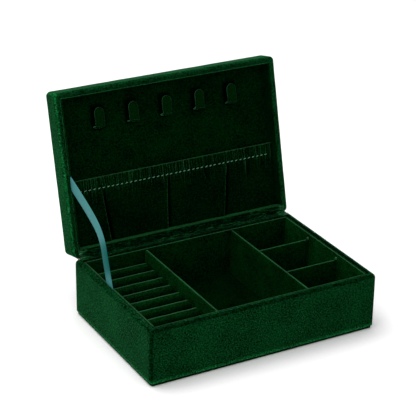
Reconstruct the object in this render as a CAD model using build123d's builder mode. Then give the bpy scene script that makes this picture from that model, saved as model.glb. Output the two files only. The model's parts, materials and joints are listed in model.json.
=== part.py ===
from build123d import *
import math
import os

os.makedirs("parts", exist_ok=True)

# ---------------------------------------------------------------- driving dimensions (millimetres)
# X runs along the case, Y from the front to the hinge, Z up. The case rests on Z = 0.

case_length = 240.0
case_depth = 160.0
rim_height = 57.6            # top of the base's velvet rim
open_angle = 103.5           # how far the lid stands open from closed

plinth_thick = 3.0           # bottom board, set in from the walls
plinth_inset = 1.5
plinth_edge = 0.8            # rounding of the bottom edge

velvet = 0.8                 # thickness of the velvet wrap with its glue
slip = 0.05                  # clearance between a wrap and the board inside it
board_gap = 0.1              # clearance round a loose board

base_wall = 6.0              # outer wall with velvet on both faces
base_groove = 0.7            # slot between the outer wall and the liner
base_liner = 2.3
base_corner = 4.2            # rounding of the upright corners
base_edge = 3.8              # rounding of the rim's outer edge
base_wrap_turn = 12.0        # how far the velvet turns down inside the rim
liner_top = 56.2
liner_edge = 0.6
floor_board = 2.0
floor_top = 10.0             # velvet floor of the open bays
pad_gap = 0.3                # between a floor pad and the walls of its bay
pad_edge = 1.5

divider_thick = 3.0
divider_top = 55.4
divider_edge = 1.2
divider_left_x = -47.2
divider_right_x = 48.8
cross_thick = 2.5
cross_top = 54.5
cross_back_y = 20.2
cross_front_y = -30.6
cross_edge = 1.0
cross_short = 4.0            # how far a short divider stops from the liner above its foot
cross_foot_top = 10.5
cross_foot_slope = 1.5

ring_count = 8
ring_pitch = 17.1
ring_width = 16.4
ring_top = 46.0
ring_bed_top = 24.0
ring_end_gap = 2.6           # between the pads and the walls of their bay
ring_round = 7.6             # rounding of a pad's top edges

lid_height = 23.5            # from the hinge axis to the outside of the lid
rim_gap = 0.25               # from the hinge axis to each rim
lid_wall = 6.0
lid_groove = 0.7
lid_liner = 1.0
lid_corner = 4.6
lid_edge = 4.2               # rounding of the outer edge round the lid's top
lid_rim_edge = 3.0           # rounding of the rim's outer edge
lid_wrap_turn = 8.0
lid_board = 3.0
lid_panel_at = 15.0          # depth of the velvet inner panel inside the lid
lid_liner_set_back = 0.8

hook_count = 5
hook_pitch = 36.3
hook_width = 10.0
hook_low = 118.5             # distance of the hook's foot from the hinge
hook_length = 20.5
hook_thick = 1.8
hook_at = 8.0                # depth of the hook's outer face
hook_tang = 2.4              # how deep the foot is set in the inner panel
hook_bend = 1.4              # rounding where the foot turns into the tab
hook_tip_flat = 0.3          # half the flat left at the tip between its two roundings
hook_slot_gap = 0.1

pocket_at = 7.8              # depth of the pocket cloth inside the lid
pocket_thick = 1.0
pocket_top = 72.5            # distance of the pocket's mouth from the hinge
casing_height = 12.0
casing_thick = 2.4
elastic_height = 8.0
elastic_thick = 1.0
pocket_gap = 0.2             # between the pocket and the lid's liners

magnet_radius = 2.0
magnet_thick = 2.5
magnet_spacing = 150.0
magnet_cover = 2.6           # board left over each magnet

gusset_thick = 0.6
gusset_length = 216.0
gusset_reach = 7.0           # from the hinge axis along each rim
spine_thick = 0.5
spine_length = 226.0
spine_drop = 16.0            # down the outside of the base
spine_reach = 13.0           # along the outside of the lid
cloth_lift = 0.05            # between a hinge cloth and what it lies on

ribbon_width = 12.7
ribbon_thick = 0.35
arc_share = 0.45             # largest part of a straight run that its arc may take

cut_margin = 5.0             # how far a cutting block reaches past what it cuts

# ---------------------------------------------------------------- worked-out dimensions

half_length = case_length / 2
half_depth = case_depth / 2
base_inset = base_wall + base_groove + base_liner
inner_x = half_length - base_inset
inner_y = half_depth - base_inset
lid_inset = lid_wall + lid_groove + lid_liner
lid_inner_x = half_length - lid_inset
floor_level = plinth_thick + floor_board
hinge_y = half_depth
hinge_z = rim_height + rim_gap

# The lid is drawn in its own frame: X as above, Y = 0 at the hinge and -case_depth at the lid's
# front edge, Z = 0 at the hinge axis and up to lid_height at the outside of the lid's top.
lid_plane = Plane((0, hinge_y, hinge_z)).rotated((-open_angle, 0, 0))
lid_mid_y = -half_depth
lid_outward = Axis(lid_plane.origin, lid_plane.z_dir)


def on_base(height):
    """The level plane at a height above the surface that the case rests on."""
    return Plane.XY.offset(height)


def on_lid(depth):
    """The plane parallel to the lid's rim, at a depth from the hinge axis."""
    return lid_plane.offset(depth)


def side_profile(x, frame=Plane.XY):
    """The upright plane across the case at x: its X is the depth direction and its Y is up."""
    across = Plane(origin=(x, 0, 0), x_dir=(0, 1, 0), z_dir=(1, 0, 0))
    return Plane(frame.location * across.location)


def save(part, name):
    """Label a finished piece and write it to its own file."""
    part.label = name
    export_step(part, f"parts/{name}.step")


def rounded_block(plane, middle_y, length, depth, height, corner, edge, outward, near_edge=0.0):
    """A block with rounded upright corners, a rounded far edge and, if asked, a rounded near edge."""
    with BuildPart() as block:
        with BuildSketch(plane):
            with Locations((0, middle_y)):
                RectangleRounded(length, depth, corner)
        extrude(amount=height)
        fillet(block.faces().sort_by(outward)[-1].edges(), edge)
        if near_edge:
            fillet(block.faces().sort_by(outward)[0].edges(), near_edge)
    return block.part


def mitred(frame, plane, middle_y, side, depth_below):
    """Keep the part of a rectangular frame that belongs to one of its four sides."""
    inner = half_length - half_depth
    x = half_length + cut_margin
    y = half_depth + cut_margin
    outlines = {
        "front": [(-x, -y), (x, -y), (inner, 0), (-inner, 0)],
        "back": [(-x, y), (-inner, 0), (inner, 0), (x, y)],
        "left": [(-x, -y), (-inner, 0), (-x, y)],
        "right": [(x, -y), (x, y), (inner, 0)],
    }
    with BuildPart() as wedge:
        with BuildSketch(plane):
            with Locations((0, middle_y)):
                Polygon(*outlines[side], align=None)
        extrude(amount=depth_below)
    return frame & wedge.part


# ---------------------------------------------------------------- base: boards and velvet

with BuildPart() as base_plinth:
    with BuildSketch(on_base(0)):
        RectangleRounded(case_length - 2 * plinth_inset, case_depth - 2 * plinth_inset, base_corner)
    extrude(amount=plinth_thick)
    fillet(base_plinth.faces().sort_by(Axis.Z)[0].edges(), plinth_edge)
save(base_plinth.part, "base_plinth")

board_skin = velvet + slip
base_board_inside = base_wall - board_skin
base_board_top = rim_height - board_skin

with BuildPart() as base_frame:
    add(rounded_block(on_base(plinth_thick), 0, case_length - 2 * board_skin, case_depth - 2 * board_skin,
                      base_board_top - plinth_thick, base_corner - velvet, base_edge - velvet, Axis.Z))
    with BuildSketch(on_base(plinth_thick)):
        Rectangle(case_length - 2 * base_board_inside, case_depth - 2 * base_board_inside)
    extrude(amount=rim_height, mode=Mode.SUBTRACT)
    with Locations((-magnet_spacing / 2, -half_depth + base_wall / 2, base_board_top - magnet_cover),
                   (magnet_spacing / 2, -half_depth + base_wall / 2, base_board_top - magnet_cover)):
        Cylinder(magnet_radius + slip, magnet_thick + 2 * slip,
                 align=(Align.CENTER, Align.CENTER, Align.MAX), mode=Mode.SUBTRACT)

for side in ("front", "back", "left", "right"):
    with BuildPart() as base_board:
        add(mitred(base_frame.part, on_base(0), 0, side, rim_height))
    save(base_board.part, f"base_board_{side}")

with BuildPart() as base_wrap:
    add(rounded_block(on_base(plinth_thick), 0, case_length, case_depth, rim_height - plinth_thick,
                      base_corner, base_edge, Axis.Z))
    add(rounded_block(on_base(plinth_thick), 0, case_length - 2 * velvet, case_depth - 2 * velvet,
                      rim_height - velvet - plinth_thick, base_corner - velvet, base_edge - velvet, Axis.Z),
        mode=Mode.SUBTRACT)
    with BuildSketch(on_base(rim_height - base_wrap_turn)):
        Rectangle(case_length - 2 * (base_wall - velvet), case_depth - 2 * (base_wall - velvet))
    extrude(amount=base_wrap_turn - velvet)
    with BuildSketch(on_base(plinth_thick)):
        Rectangle(case_length - 2 * base_wall, case_depth - 2 * base_wall)
    extrude(amount=rim_height, mode=Mode.SUBTRACT)
save(base_wrap.part, "base_wrap")

with BuildPart() as base_floor_board:
    with BuildSketch(on_base(plinth_thick)):
        Rectangle(case_length - 2 * (base_board_inside + board_gap),
                  case_depth - 2 * (base_board_inside + board_gap))
    extrude(amount=floor_board)
save(base_floor_board.part, "base_floor_board")

with BuildPart() as base_magnets:
    with Locations((-magnet_spacing / 2, -half_depth + base_wall / 2, base_board_top - magnet_cover - slip),
                   (magnet_spacing / 2, -half_depth + base_wall / 2, base_board_top - magnet_cover - slip)):
        Cylinder(magnet_radius, magnet_thick, align=(Align.CENTER, Align.CENTER, Align.MAX))
save(base_magnets.part, "base_magnets")

# ---------------------------------------------------------------- base: liner, dividers and floors

liner_height = liner_top - floor_level
liner_middle_x = inner_x + base_liner / 2
liner_middle_y = inner_y + base_liner / 2
liners = {
    "front": (0, -liner_middle_y, 2 * (inner_x + base_liner), base_liner),
    "back": (0, liner_middle_y, 2 * (inner_x + base_liner), base_liner),
    "left": (-liner_middle_x, 0, base_liner, 2 * inner_y),
    "right": (liner_middle_x, 0, base_liner, 2 * inner_y),
}
for side, (x, y, length, depth) in liners.items():
    with BuildPart() as base_liner_strip:
        with BuildSketch(on_base(floor_level)):
            with Locations((x, y)):
                Rectangle(length, depth)
        extrude(amount=liner_height)
        along = Axis.X if length > depth else Axis.Y
        top_edges = base_liner_strip.faces().sort_by(Axis.Z)[-1].edges().filter_by(along)
        fillet(top_edges, liner_edge)
    save(base_liner_strip.part, f"base_liner_{side}")

for name, x in (("divider_left", divider_left_x), ("divider_right", divider_right_x)):
    with BuildPart() as divider:
        with BuildSketch(on_base(floor_level)):
            with Locations((x, 0)):
                Rectangle(divider_thick, 2 * inner_y)
        extrude(amount=divider_top - floor_level)
        fillet(divider.faces().sort_by(Axis.Z)[-1].edges().filter_by(Axis.Y), divider_edge)
    save(divider.part, name)

cross_start = divider_right_x + divider_thick / 2
cross_end = inner_x - cross_short
for name, y in (("cross_divider_back", cross_back_y), ("cross_divider_front", cross_front_y)):
    with BuildPart() as cross_divider:
        with BuildSketch(Plane.XZ.offset(-y - cross_thick / 2)):
            with BuildLine():
                Polyline((cross_start, floor_level), (inner_x, floor_level), (inner_x, cross_foot_top),
                         (cross_end, cross_foot_top + cross_foot_slope), (cross_end, cross_top),
                         (cross_start, cross_top), close=True)
            make_face()
        extrude(amount=cross_thick)
        fillet(cross_divider.faces().sort_by(Axis.Z)[-1].edges().filter_by(Axis.X), cross_edge)
    save(cross_divider.part, name)

centre_start = divider_left_x + divider_thick / 2
centre_end = divider_right_x - divider_thick / 2
half_cross = cross_thick / 2
floor_pads = {
    "floor_pad_centre": (centre_start, centre_end, -inner_y, inner_y),
    "floor_pad_right_back": (cross_start, inner_x, cross_back_y + half_cross, inner_y),
    "floor_pad_right_middle": (cross_start, inner_x, cross_front_y + half_cross, cross_back_y - half_cross),
    "floor_pad_right_front": (cross_start, inner_x, -inner_y, cross_front_y - half_cross),
}
for name, (x_low, x_high, y_low, y_high) in floor_pads.items():
    with BuildPart() as floor_pad:
        with BuildSketch(on_base(floor_level)):
            with Locations(((x_low + x_high) / 2, (y_low + y_high) / 2)):
                Rectangle(x_high - x_low - 2 * pad_gap, y_high - y_low - 2 * pad_gap)
        extrude(amount=floor_top - floor_level)
        fillet(floor_pad.faces().sort_by(Axis.Z)[-1].edges(), pad_edge)
    save(floor_pad.part, name)

# ---------------------------------------------------------------- base: ring pads

ring_start = -inner_x + ring_end_gap
ring_end = divider_left_x - divider_thick / 2 - ring_end_gap
ring_row_half = ring_count * ring_pitch / 2

with BuildPart() as ring_bed:
    with BuildSketch(on_base(floor_level)):
        with Locations(((ring_start + ring_end) / 2, 0)):
            Rectangle(ring_end - ring_start, 2 * ring_row_half)
    extrude(amount=ring_bed_top - floor_level)
save(ring_bed.part, "ring_bed")

for number in range(ring_count):
    ring_y = ring_row_half - (number + 0.5) * ring_pitch
    low, high = ring_y - ring_width / 2, ring_y + ring_width / 2
    with BuildPart() as ring_pad:
        with BuildSketch(side_profile(ring_start)) as ring_section:
            with Locations((ring_y, (ring_bed_top + ring_top) / 2)):
                Rectangle(ring_width, ring_top - ring_bed_top)
            fillet(ring_section.vertices().group_by(Axis.Z)[-1], ring_round)
        extrude(amount=ring_end - ring_start)
    save(ring_pad.part, f"ring_pad_{number + 1}")

# ---------------------------------------------------------------- lid: boards and velvet

lid_board_inside = lid_wall - board_skin
lid_board_outside = lid_height - board_skin

with BuildPart() as lid_shell:
    add(rounded_block(on_lid(rim_gap + board_skin), lid_mid_y, case_length - 2 * board_skin,
                      case_depth - 2 * board_skin, lid_board_outside - rim_gap - board_skin,
                      lid_corner - velvet, lid_edge - velvet, lid_outward, lid_rim_edge - velvet))

with BuildPart() as lid_top_space:
    with BuildSketch(on_lid(lid_height - board_skin - lid_board)):
        with Locations((0, lid_mid_y)):
            Rectangle(case_length + 2 * cut_margin, case_depth + 2 * cut_margin)
    extrude(amount=lid_board + cut_margin)

with BuildPart() as lid_top_board:
    add(lid_shell.part & lid_top_space.part)
save(lid_top_board.part, "lid_top_board")

magnet_y = -case_depth + lid_wall / 2
with BuildPart() as lid_frame:
    add(lid_shell.part)
    add(lid_top_space.part, mode=Mode.SUBTRACT)
    with BuildSketch(on_lid(0)):
        with Locations((0, lid_mid_y)):
            Rectangle(case_length - 2 * lid_board_inside, case_depth - 2 * lid_board_inside)
    extrude(amount=lid_height, mode=Mode.SUBTRACT)
    with BuildSketch(on_lid(rim_gap + board_skin + magnet_cover)):
        with Locations((-magnet_spacing / 2, magnet_y), (magnet_spacing / 2, magnet_y)):
            Circle(magnet_radius + slip)
    extrude(amount=magnet_thick + 2 * slip, mode=Mode.SUBTRACT)

for side in ("front", "back", "left", "right"):
    with BuildPart() as lid_side_board:
        add(mitred(lid_frame.part, on_lid(0), lid_mid_y, side, lid_height))
    save(lid_side_board.part, f"lid_board_{'hinge' if side == 'back' else side}")

with BuildPart() as lid_wrap:
    add(rounded_block(on_lid(rim_gap), lid_mid_y, case_length, case_depth, lid_height - rim_gap,
                      lid_corner, lid_edge, lid_outward, lid_rim_edge))
    add(rounded_block(on_lid(rim_gap + velvet), lid_mid_y, case_length - 2 * velvet, case_depth - 2 * velvet,
                      lid_height - rim_gap - 2 * velvet, lid_corner - velvet, lid_edge - velvet, lid_outward,
                      lid_rim_edge - velvet),
        mode=Mode.SUBTRACT)
    with BuildSketch(on_lid(rim_gap + velvet)):
        with Locations((0, lid_mid_y)):
            Rectangle(case_length - 2 * (lid_wall - velvet), case_depth - 2 * (lid_wall - velvet))
    extrude(amount=lid_wrap_turn)
    with BuildSketch(on_lid(0)):
        with Locations((0, lid_mid_y)):
            Rectangle(case_length - 2 * lid_wall, case_depth - 2 * lid_wall)
    extrude(amount=rim_gap + velvet + lid_wrap_turn, mode=Mode.SUBTRACT)
save(lid_wrap.part, "lid_wrap")

with BuildPart() as lid_magnets:
    with BuildSketch(on_lid(rim_gap + board_skin + magnet_cover + slip)):
        with Locations((-magnet_spacing / 2, magnet_y), (magnet_spacing / 2, magnet_y)):
            Circle(magnet_radius)
    extrude(amount=magnet_thick)
save(lid_magnets.part, "lid_magnets")

# ---------------------------------------------------------------- lid: panel, liner and hooks

lid_inner_low = -case_depth + lid_inset
lid_inner_high = -lid_inset
lid_panel_back = lid_height - board_skin - lid_board

with BuildPart() as lid_inner_panel:
    with BuildSketch(on_lid(lid_panel_at)):
        with Locations((0, lid_mid_y)):
            Rectangle(case_length - 2 * (lid_board_inside + board_gap),
                      case_depth - 2 * (lid_board_inside + board_gap))
    extrude(amount=lid_panel_back - lid_panel_at)
    with BuildSketch(on_lid(lid_panel_at)):
        hook_middle_y = -hook_low - hook_thick / 2
        with Locations((0, hook_middle_y)):
            with GridLocations(hook_pitch, 1, hook_count, 1):
                Rectangle(hook_width + 2 * hook_slot_gap, hook_thick + 2 * hook_slot_gap)
    extrude(amount=hook_tang + hook_slot_gap, mode=Mode.SUBTRACT)
save(lid_inner_panel.part, "lid_inner_panel")

lid_liner_x = lid_inner_x + lid_liner / 2
lid_liner_length = case_depth - 2 * lid_inset
lid_liners = {
    "front": (0, lid_inner_low - lid_liner / 2, 2 * (lid_inner_x + lid_liner), lid_liner),
    "hinge": (0, lid_inner_high + lid_liner / 2, 2 * (lid_inner_x + lid_liner), lid_liner),
    "left": (-lid_liner_x, lid_mid_y, lid_liner, lid_liner_length),
    "right": (lid_liner_x, lid_mid_y, lid_liner, lid_liner_length),
}
for side, (x, y, length, depth) in lid_liners.items():
    with BuildPart() as lid_liner_strip:
        with BuildSketch(on_lid(rim_gap + lid_liner_set_back)):
            with Locations((x, y)):
                Rectangle(length, depth)
        extrude(amount=lid_panel_at - rim_gap - lid_liner_set_back)
    save(lid_liner_strip.part, f"lid_liner_{side}")

hook_foot_y = -hook_low
hook_tip_y = -hook_low - hook_length
for number in range(hook_count):
    hook_x = (number - (hook_count - 1) / 2) * hook_pitch
    with BuildPart() as hook:
        with BuildSketch(side_profile(hook_x - hook_width / 2, lid_plane)):
            with BuildLine():
                Polyline((hook_tip_y, hook_at), (hook_foot_y, hook_at),
                         (hook_foot_y, lid_panel_at + hook_tang),
                         (hook_foot_y - hook_thick, lid_panel_at + hook_tang),
                         (hook_foot_y - hook_thick, hook_at + hook_thick),
                         (hook_tip_y, hook_at + hook_thick), close=True)
            make_face()
        extrude(amount=hook_width)
        across = hook.edges().filter_by(Axis.X)
        fillet(across.sort_by(lid_outward)[:2].sort_by(Axis.Z)[0], hook_bend)
        tip_corners = hook.edges().filter_by(lid_outward).group_by(Axis.Z)[-1]
        fillet(tip_corners, hook_width / 2 - hook_tip_flat)
    save(hook.part, f"necklace_hook_{number + 1}")

# ---------------------------------------------------------------- lid: pocket with its elastic

pocket_length = 2 * (lid_inner_x - pocket_gap)
pocket_low = -pocket_top + casing_height
with BuildPart() as pocket_cloth:
    with BuildSketch(on_lid(pocket_at)):
        with Locations((0, (pocket_low + lid_inner_high - pocket_gap) / 2)):
            Rectangle(pocket_length, lid_inner_high - pocket_gap - pocket_low)
    extrude(amount=pocket_thick)
save(pocket_cloth.part, "pocket_cloth")

casing_middle_y = -pocket_top + casing_height / 2
casing_front = pocket_at + pocket_thick / 2 - casing_thick / 2
elastic_front = pocket_at + pocket_thick / 2 - elastic_thick / 2
with BuildPart() as pocket_casing:
    with BuildSketch(on_lid(casing_front)):
        with Locations((0, casing_middle_y)):
            Rectangle(pocket_length, casing_height)
    extrude(amount=casing_thick)
    with BuildSketch(on_lid(elastic_front - slip)):
        with Locations((0, casing_middle_y)):
            Rectangle(pocket_length, elastic_height + 2 * slip)
    extrude(amount=elastic_thick + 2 * slip, mode=Mode.SUBTRACT)
save(pocket_casing.part, "pocket_casing")

with BuildPart() as pocket_elastic:
    with BuildSketch(on_lid(elastic_front)):
        with Locations((0, casing_middle_y)):
            Rectangle(pocket_length, elastic_height)
    extrude(amount=elastic_thick)
save(pocket_elastic.part, "pocket_elastic")

# ---------------------------------------------------------------- cloth hinge: gusset and spine

opening = math.radians(open_angle)
rim_away = (math.cos(math.pi - opening), math.sin(math.pi - opening))     # along the lid's rim
rim_front = (-rim_away[1], rim_away[0])                                  # out of the lid's rim


def beside_hinge(along, out, direction, normal):
    """A point in the hinge's cross-section, from distances along one face and out of it."""
    return (hinge_y + along * direction[0] + out * normal[0], hinge_z + along * direction[1] + out * normal[1])


def corner_between(out, first, first_normal, second, second_normal):
    """Where two faces meet when both are moved out by the same distance."""
    spread = 1 + first_normal[0] * second_normal[0] + first_normal[1] * second_normal[1]
    return (hinge_y + out * (first_normal[0] + second_normal[0]) / spread,
            hinge_z + out * (first_normal[1] + second_normal[1]) / spread)


def bent_strip(first, first_normal, first_reach, second, second_normal, second_reach, inside, thick):
    """The outline of a strip that lies on two faces and is folded where they meet."""
    outside = inside + thick
    return [
        beside_hinge(first_reach, inside, first, first_normal),
        corner_between(inside, first, first_normal, second, second_normal),
        beside_hinge(second_reach, inside, second, second_normal),
        beside_hinge(second_reach, outside, second, second_normal),
        corner_between(outside, first, first_normal, second, second_normal),
        beside_hinge(first_reach, outside, first, first_normal),
    ]


with BuildPart() as hinge_gusset:
    with BuildSketch(side_profile(-gusset_length / 2)):
        with BuildLine():
            Polyline(*bent_strip((-1, 0), (0, 1), gusset_reach, rim_away, rim_front, gusset_reach,
                                 cloth_lift, gusset_thick), close=True)
        make_face()
    extrude(amount=gusset_length)
save(hinge_gusset.part, "hinge_gusset")

lid_back_along = (rim_away[1], -rim_away[0])
lid_back_out = (-rim_away[0], -rim_away[1])
with BuildPart() as hinge_spine:
    with BuildSketch(side_profile(-spine_length / 2)):
        with BuildLine():
            Polyline(*bent_strip((0, -1), (1, 0), spine_drop, lid_back_along, lid_back_out, spine_reach,
                                 cloth_lift, spine_thick), close=True)
        make_face()
    extrude(amount=spine_length)
save(hinge_spine.part, "hinge_spine")

# ---------------------------------------------------------------- ribbon stay

# The ribbon lies flat in the upright plane of the two slots on the left. It comes out of the lid's
# slot, droops towards the front and goes down into the base's slot. Its points give the middle
# of the ribbon as (Y, Z).
ribbon_x = -half_length + lid_wall + lid_groove / 2
ribbon_route = [(99.5, 129.5), (60.0, 117.0), (31.0, 102.5), (22.0, 76.0), (12.5, 50.5)]


def arc_radii(route):
    """The largest arcs that fit: a share of the shorter run over the tangent of half the turn."""
    radii = []
    for before, here, after in zip(route, route[1:], route[2:]):
        run_in = math.dist(before, here)
        run_out = math.dist(here, after)
        way_in = math.atan2(here[1] - before[1], here[0] - before[0])
        way_out = math.atan2(after[1] - here[1], after[0] - here[0])
        turn = abs((way_out - way_in + math.pi) % (2 * math.pi) - math.pi)
        radii.append(arc_share * min(run_in, run_out) / math.tan(turn / 2))
    return radii


radii = arc_radii(ribbon_route)
print("ribbon arc radii in mm:", [round(radius, 1) for radius in radii])

with BuildPart() as ribbon_stay:
    with BuildSketch(side_profile(ribbon_x - ribbon_thick / 2)) as ribbon_outline:
        with BuildLine() as ribbon_line:
            FilletPolyline(*ribbon_route, radius=radii)
        trace(line_width=ribbon_width)
    extrude(amount=ribbon_thick)
ribbon_length = ribbon_line.wire().length
print("ribbon length in mm:", round(ribbon_length, 1))
print("ribbon volume over section times length:",
      round(ribbon_stay.part.volume / (ribbon_width * ribbon_thick * ribbon_length), 3))
save(ribbon_stay.part, "ribbon_stay")
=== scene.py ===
"""A velvet travel jewelry case with its lid open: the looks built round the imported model."""

import json
import math

import bpy
from mathutils import Matrix, Vector, noise

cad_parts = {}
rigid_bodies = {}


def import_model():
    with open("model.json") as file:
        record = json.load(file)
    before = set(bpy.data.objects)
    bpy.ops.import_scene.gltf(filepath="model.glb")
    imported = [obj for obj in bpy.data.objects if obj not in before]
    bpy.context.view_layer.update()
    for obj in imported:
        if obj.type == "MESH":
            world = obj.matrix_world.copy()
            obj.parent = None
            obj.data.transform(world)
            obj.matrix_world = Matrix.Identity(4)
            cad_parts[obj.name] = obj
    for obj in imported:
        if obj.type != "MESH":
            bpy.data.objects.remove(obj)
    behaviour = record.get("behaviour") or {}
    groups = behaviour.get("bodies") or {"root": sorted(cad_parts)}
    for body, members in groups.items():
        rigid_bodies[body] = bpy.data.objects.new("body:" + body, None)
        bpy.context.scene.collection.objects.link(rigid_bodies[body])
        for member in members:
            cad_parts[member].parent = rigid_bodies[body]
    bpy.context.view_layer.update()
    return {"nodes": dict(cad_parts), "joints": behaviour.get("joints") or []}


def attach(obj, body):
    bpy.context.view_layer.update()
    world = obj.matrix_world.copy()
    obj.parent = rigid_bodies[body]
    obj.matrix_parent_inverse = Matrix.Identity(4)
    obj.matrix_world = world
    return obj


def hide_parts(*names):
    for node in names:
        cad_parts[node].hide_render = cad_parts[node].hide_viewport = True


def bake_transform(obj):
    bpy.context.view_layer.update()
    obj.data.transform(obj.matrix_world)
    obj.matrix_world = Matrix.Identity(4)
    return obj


for unwanted in list(bpy.data.objects):
    bpy.data.objects.remove(unwanted)

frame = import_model()
nodes = frame["nodes"]
hinge = frame["joints"][0]
MM = 0.001

# ---------------------------------------------------------------- sizes, in millimetres
case_length = 240.0
case_depth = 160.0
rim_height = 57.6
plinth_thick = 3.0
plinth_inset = 1.5
base_wall = 6.0
base_corner = 4.2
base_edge = 3.8
base_groove_depth = 5.0
lid_height = 23.5
lid_wall = 6.0
lid_corner = 4.6
lid_edge = 4.2
lid_rim_edge = 3.0
rim_gap = 0.25
lid_groove_depth = 4.0
open_angle = hinge["range_deg"][1]

# ---------------------------------------------------------------- the lid's own frame
# In lid space x is along the hinge, y runs from the hinge towards the lid's front edge as
# negative numbers, and z from the rim plane outwards.
lid_space = (Matrix.Translation(Vector(hinge["pos_m"]))
             @ Matrix.Rotation(math.radians(-open_angle), 4, "X"))
row_space = Matrix.Identity(4)


# ---------------------------------------------------------------- node materials
def new_material(name):
    material = bpy.data.materials.new(name)
    material.use_nodes = True
    tree = material.node_tree
    shader = tree.nodes["Principled BSDF"]
    place = tree.nodes.new("ShaderNodeTexCoord")
    return material, tree, shader, place.outputs["Object"]


def noise_node(tree, place, size, detail=3.0, roughness=0.55, stretch=(1, 1, 1)):
    """A noise whose features are about `size` millimetres across."""
    mapping = tree.nodes.new("ShaderNodeMapping")
    mapping.inputs["Scale"].default_value = stretch
    tree.links.new(place, mapping.inputs["Vector"])
    texture = tree.nodes.new("ShaderNodeTexNoise")
    texture.inputs["Scale"].default_value = 1 / (size * MM)
    texture.inputs["Detail"].default_value = detail
    texture.inputs["Roughness"].default_value = roughness
    tree.links.new(mapping.outputs["Vector"], texture.inputs["Vector"])
    return texture.outputs["Fac"]


def ramp_node(tree, fac, stops):
    ramp = tree.nodes.new("ShaderNodeValToRGB")
    tree.links.new(fac, ramp.inputs["Fac"])
    elements = ramp.color_ramp.elements
    while len(elements) < len(stops):
        elements.new(0.5)
    for element, (at, colour) in zip(elements, stops):
        element.position = at
        element.color = (*colour, 1)
    return ramp.outputs["Color"]


def math_node(tree, operation, *values):
    node = tree.nodes.new("ShaderNodeMath")
    node.operation = operation
    for socket, value in zip(node.inputs, values):
        if isinstance(value, (int, float)):
            socket.default_value = value
        else:
            tree.links.new(value, socket)
    return node.outputs["Value"]


def vector_node(tree, operation, first, second):
    """The sum of two vectors ("ADD"), or a vector times a number ("SCALE")."""
    node = tree.nodes.new("ShaderNodeVectorMath")
    node.operation = operation
    second_socket = node.inputs["Scale"] if operation == "SCALE" else node.inputs[1]
    for socket, value in ((node.inputs[0], first), (second_socket, second)):
        if isinstance(value, tuple):
            socket.default_value = value
        else:
            tree.links.new(value, socket)
    return node.outputs["Vector"]


def attribute_node(tree, name):
    attribute = tree.nodes.new("ShaderNodeAttribute")
    attribute.attribute_name = name
    return attribute.outputs["Fac"]


def paint(tree, shader, fac, dark, light, ends=(0.3, 0.7)):
    """Colours the shader from dark to light as the factor goes from one end to the other."""
    colour = ramp_node(tree, fac, [(ends[0], dark), (ends[1], light)])
    tree.links.new(colour, shader.inputs["Base Color"])


def bump_node(tree, shader, height, strength, depth):
    bump = tree.nodes.new("ShaderNodeBump")
    bump.inputs["Strength"].default_value = strength
    bump.inputs["Distance"].default_value = depth * MM
    tree.links.new(height, bump.inputs["Height"])
    tree.links.new(bump.outputs["Normal"], shader.inputs["Normal"])


# Size of the painted glints on the velvet's fibre ends.
glint_size = 1.1
# Colour of the pale painted sheen, and the painted light above which it starts.
painted_sheen_colour = (0.009, 0.016, 0.013)
sheen_from = 2.0
nap_depth = 0.4


def velvet(name, dark, light, sheen=(0.26, 1.0, 0.46), sheen_weight=0.36, sheen_roughness=0.26,
           nap_size=1.7, patchy=0.2, glint=(0.001, 0.006, 0.002), stretch=(1, 1, 1)):
    """Short cut velvet: nearly black seen along the nap, pale seen across it, with bright fibre ends painted
    as glints.

    The mesh attribute read below is painted light and shade: above 0 the colour is lighter, below 0 darker;
    above the sheen threshold a pale painted sheen is added as well."""
    material, tree, shader, place = new_material(name)
    nap = noise_node(tree, place, nap_size, detail=3, roughness=0.75, stretch=stretch)
    patch = noise_node(tree, place, 22.0, detail=2)
    blend = math_node(tree, "ADD", math_node(tree, "MULTIPLY", nap, 1 - patchy),
                      math_node(tree, "MULTIPLY", patch, patchy))
    colour = ramp_node(tree, blend, [(0.42, dark), (0.60, light)])
    # Painted glints: bright specks on the fibre ends, laid over the random nap grain.
    glint_noise = noise_node(tree, place, glint_size, detail=1, stretch=stretch)
    painted_glints = ramp_node(tree, glint_noise, [(0.58, (0, 0, 0)), (0.70, glint)])
    # Painted light and shade: the per-vertex attribute scales the base colour up or down, and above the
    # threshold it adds a pale painted sheen.
    painted_lightness = attribute_node(tree, "painted_light")
    gain = math_node(tree, "ADD", painted_lightness, 1.0)
    shaded_colour = vector_node(tree, "SCALE", vector_node(tree, "ADD", colour, painted_glints), gain)
    sheen_amount = math_node(tree, "MAXIMUM", math_node(tree, "SUBTRACT", painted_lightness, sheen_from), 0.0)
    painted_sheen = vector_node(tree, "SCALE", painted_sheen_colour, sheen_amount)
    tree.links.new(vector_node(tree, "ADD", shaded_colour, painted_sheen), shader.inputs["Base Color"])
    shader.inputs["Roughness"].default_value = 0.6
    shader.inputs["Specular IOR Level"].default_value = 0.0
    shader.inputs["Sheen Weight"].default_value = sheen_weight
    shader.inputs["Sheen Roughness"].default_value = sheen_roughness
    shader.inputs["Sheen Tint"].default_value = (*sheen, 1)
    bump_node(tree, shader, nap, 1.0, nap_depth)
    return material


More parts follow.
